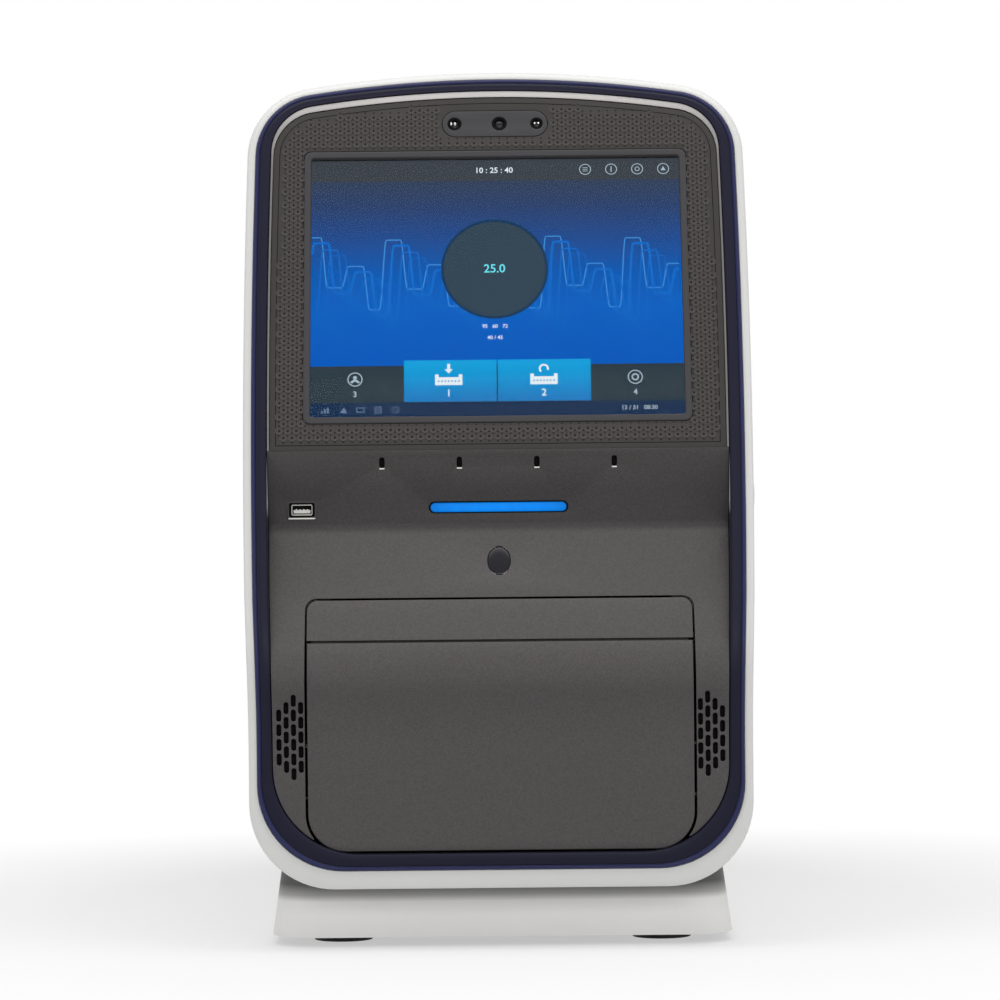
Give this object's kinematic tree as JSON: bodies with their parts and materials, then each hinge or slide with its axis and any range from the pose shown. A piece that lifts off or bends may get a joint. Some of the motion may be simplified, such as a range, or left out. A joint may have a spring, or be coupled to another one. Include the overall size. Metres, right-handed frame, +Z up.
{
  "type": "real-time pcr machine",
  "caption": "Bench real-time PCR machine: tall white body, leaning touch screen, motorised drawer with a 96-well block, heated cover and filter-wheel optics inside",
  "frame": {"origin": "under the middle of the body, on the plane the feet stand on", "axes": "+X to the right seen from the front, +Y to the rear, +Z up; the drawer opens towards -Y"},
  "size_m": [0.3351, 0.64, 0.577],
  "materials": {
    "white_shell": "fine satin, painted white",
    "dark_ring": "deep blue-black, smooth",
    "bright_rim": "satin",
    "surround_texture": "charcoal with an embossed pattern",
    "frame_grey": "satin grey",
    "screen_glass": "clear, over a lit display",
    "electronics": "dark housing",
    "black_gloss": "gloss black",
    "face_grey": "satin graphite",
    "blue_light": "translucent, lit blue",
    "board_green": "circuit board",
    "steel": "zinc-plated sheet",
    "base_white": "off-white, fine texture",
    "rubber": "matt black",
    "panel_grey": "powder-coated light grey",
    "fan_black": "matt black",
    "aluminium": "machined",
    "anodised_black": "black anodised",
    "deck_white": "satin white",
    "glass_clear": "coated optical glass",
    "mirror": "first-surface mirror",
    "ceramic": "ceramic faces"
  },
  "bodies": {
    "cabinet": {"front_shell": "white_shell", "trim_ring": "dark_ring", "bezel_rim": "bright_rim", "screen_surround": "surround_texture", "screen_frame": "frame_grey", "touch_glass": "screen_glass", "display_panel": "electronics", "sensor_window": "black_gloss", "sensor_cameras": "black_gloss", "fascia": "face_grey", "microphones": "fan_black", "light_bar": "blue_light", "light_board": "board_green", "presence_sensor": "black_gloss", "front_usb_port": "steel", "speakers": "fan_black", "standby_switch": "electronics", "side_cover_right": "white_shell", "side_cover_left": "white_shell", "top_cover": "white_shell", "base_plinth": "base_white", "rubber_feet": "rubber", "chassis_base": "steel", "chassis_frames": "steel", "optics_deck": "aluminium", "rear_panel": "panel_grey", "rear_fan_frames": "fan_black", "power_entry": "fan_black", "rear_ports": "steel", "panel_screws": "steel", "power_supply": "electronics", "main_board": "board_green", "slide_outer_rails": "steel", "drawer_motor": "anodised_black", "cover_actuators": "anodised_black", "field_lens": "glass_clear", "optics_column": "anodised_black", "optics_mirrors": "mirror", "optics_bulkhead": "anodised_black", "filter_motors": "anodised_black", "led_source": "electronics", "optics_camera": "electronics"},
    "drawer": {"drawer_front": "face_grey", "drawer_top_strip": "face_grey", "drawer_carriage": "steel", "drawer_deck": "deck_white", "slide_inner_rails": "steel", "sample_block": "aluminium", "peltier_modules": "ceramic", "heat_sink": "aluminium"},
    "lid": {"heated_cover": "electronics", "heated_platen": "aluminium", "cover_rods": "steel"},
    "lead_screw": {"drawer_screw": "steel"},
    "excitation_turret": {"excitation_wheel": "anodised_black"},
    "emission_turret": {"emission_wheel": "anodised_black"},
    "left_rotor": {"rear_fan_left": "fan_black"},
    "right_rotor": {"rear_fan_right": "fan_black"},
    "rocker": {"power_rocker": "fan_black"},
    "standby": {"standby_button": "white_shell"}
  },
  "joints": [
    {"name": "drawer_slide", "type": "slide", "parent": "cabinet", "child": "drawer", "axis": [0, -1, 0], "range_m": [0, 0.24]},
    {"name": "screw_spin", "type": "hinge", "parent": "cabinet", "child": "lead_screw", "pos_m": [0.084, 0, 0.069], "axis": [0, 1, 0], "continuous": true},
    {"name": "cover_lift", "type": "slide", "parent": "cabinet", "child": "lid", "axis": [0, 0, -1], "range_m": [0, 0.012]},
    {"name": "excitation_turn", "type": "hinge", "parent": "cabinet", "child": "excitation_turret", "pos_m": [0.035, -0.034, 0.35], "axis": [0, 1, 0], "continuous": true},
    {"name": "emission_turn", "type": "hinge", "parent": "cabinet", "child": "emission_turret", "pos_m": [-0.035, -0.034, 0.445], "axis": [0, 1, 0], "continuous": true},
    {"name": "left_fan_spin", "type": "hinge", "parent": "cabinet", "child": "left_rotor", "pos_m": [-0.048, 0.3025, 0.42], "axis": [0, 1, 0], "continuous": true},
    {"name": "right_fan_spin", "type": "hinge", "parent": "cabinet", "child": "right_rotor", "pos_m": [0.048, 0.3025, 0.42], "axis": [0, 1, 0], "continuous": true},
    {"name": "rocker_tilt", "type": "hinge", "parent": "cabinet", "child": "rocker", "pos_m": [0.098, 0.3136, 0.139], "axis": [1, 0, 0], "range_deg": [0, 20]},
    {"name": "standby_press", "type": "slide", "parent": "cabinet", "child": "standby", "axis": [-1, 0, 0], "range_m": [0, 0.001], "stiffness_N_per_m": 2000}
  ],
  "couplings": [
    {"joint": "screw_spin", "follows": "drawer_slide", "rad_per_m": 628.32}
  ]
}
